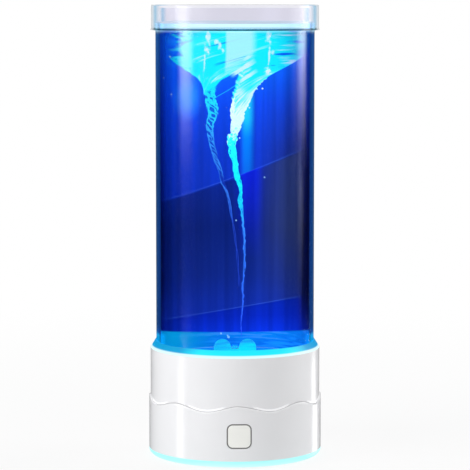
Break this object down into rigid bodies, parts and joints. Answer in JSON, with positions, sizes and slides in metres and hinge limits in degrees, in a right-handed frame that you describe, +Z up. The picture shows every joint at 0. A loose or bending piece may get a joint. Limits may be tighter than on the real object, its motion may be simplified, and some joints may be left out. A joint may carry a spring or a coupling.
{
  "type": "tornado lamp",
  "caption": "Tornado lamp: a clear water tank with a lift-off lid on a round white base that holds a motor, a magnetic impeller drive, lights and a push button.",
  "frame": {"origin": "on the table under the middle of the lamp", "axes": "+Z up along the tank, the push button faces -Y, the power inlet faces +Y"},
  "size_m": [0.0984, 0.0984, 0.2567],
  "materials": {
    "white_plastic": "gloss",
    "button_plastic": "satin",
    "clear_acrylic": "gloss",
    "clear_lid_plastic": "gloss",
    "blue_water": "gloss",
    "frosted_light_plastic": "satin",
    "impeller_plastic": "satin",
    "inner_plastic": "matte",
    "black_plastic": "satin",
    "connector_plastic": "satin",
    "circuit_board": "satin",
    "light_lens": "gloss",
    "screw_steel": "satin",
    "motor_steel": "satin",
    "magnet_ferrite": "matte",
    "magnet_plated": "polished",
    "bearing_brass": "satin",
    "foot_rubber": "matte",
    "seal_rubber": "matte",
    "wire_sleeve": "satin"
  },
  "bodies": {
    "base": {"foot_pads": "foot_rubber", "base_plate": "white_plastic", "base_screws": "screw_steel", "glow_ring": "frosted_light_plastic", "lower_shell": "white_plastic", "upper_shell": "white_plastic", "light_collar": "frosted_light_plastic", "tank_tube": "clear_acrylic", "tank_floor": "clear_acrylic", "tank_seal": "seal_rubber", "spindle": "screw_steel", "spindle_cap": "clear_acrylic", "water": "blue_water", "motor_deck": "inner_plastic", "deck_screws": "screw_steel", "light_board": "circuit_board", "light_board_screws": "screw_steel", "light_emitters": "light_lens", "motor_can": "motor_steel", "motor_bearing": "bearing_brass", "motor_magnets": "magnet_ferrite", "motor_end_cap": "inner_plastic", "motor_terminals": "bearing_brass", "motor_screws": "screw_steel", "main_board": "circuit_board", "main_board_screws": "screw_steel", "wire_headers": "connector_plastic", "controller_chip": "black_plastic", "capacitor": "black_plastic", "glow_lights": "light_lens", "power_inlet": "black_plastic", "inlet_pin": "screw_steel", "switch_bracket": "inner_plastic", "switch_board": "circuit_board", "switch_screws": "screw_steel", "switch_body": "black_plastic", "motor_wires": "wire_sleeve", "light_wires": "wire_sleeve", "switch_wires": "wire_sleeve"},
    "lid": {"lid": "clear_lid_plastic", "lid_seal": "seal_rubber"},
    "impeller": {"impeller": "impeller_plastic", "impeller_bush": "inner_plastic", "impeller_magnets": "magnet_plated"},
    "motor_rotor": {"motor_shaft": "screw_steel", "motor_armature": "motor_steel", "magnet_carrier": "inner_plastic", "drive_magnets": "magnet_plated"},
    "power_button": {"power_button": "button_plastic", "switch_plunger": "black_plastic"}
  },
  "joints": [
    {"name": "lid_lift", "type": "slide", "parent": "base", "child": "lid", "axis": [0, 0, 1], "range_m": [0, 0.04]},
    {"name": "rotor_spin", "type": "hinge", "parent": "base", "child": "motor_rotor", "pos_m": [0, 0, 0.035], "axis": [0, 0, 1], "continuous": true},
    {"name": "impeller_spin", "type": "hinge", "parent": "base", "child": "impeller", "pos_m": [0, 0, 0.058], "axis": [0, 0, 1], "continuous": true},
    {"name": "button_press", "type": "slide", "parent": "base", "child": "power_button", "axis": [0, 1, 0], "range_m": [0, 0.0008], "stiffness_N_per_m": 800}
  ],
  "couplings": [
    {"joint": "impeller_spin", "follows": "rotor_spin", "ratio": 1}
  ]
}
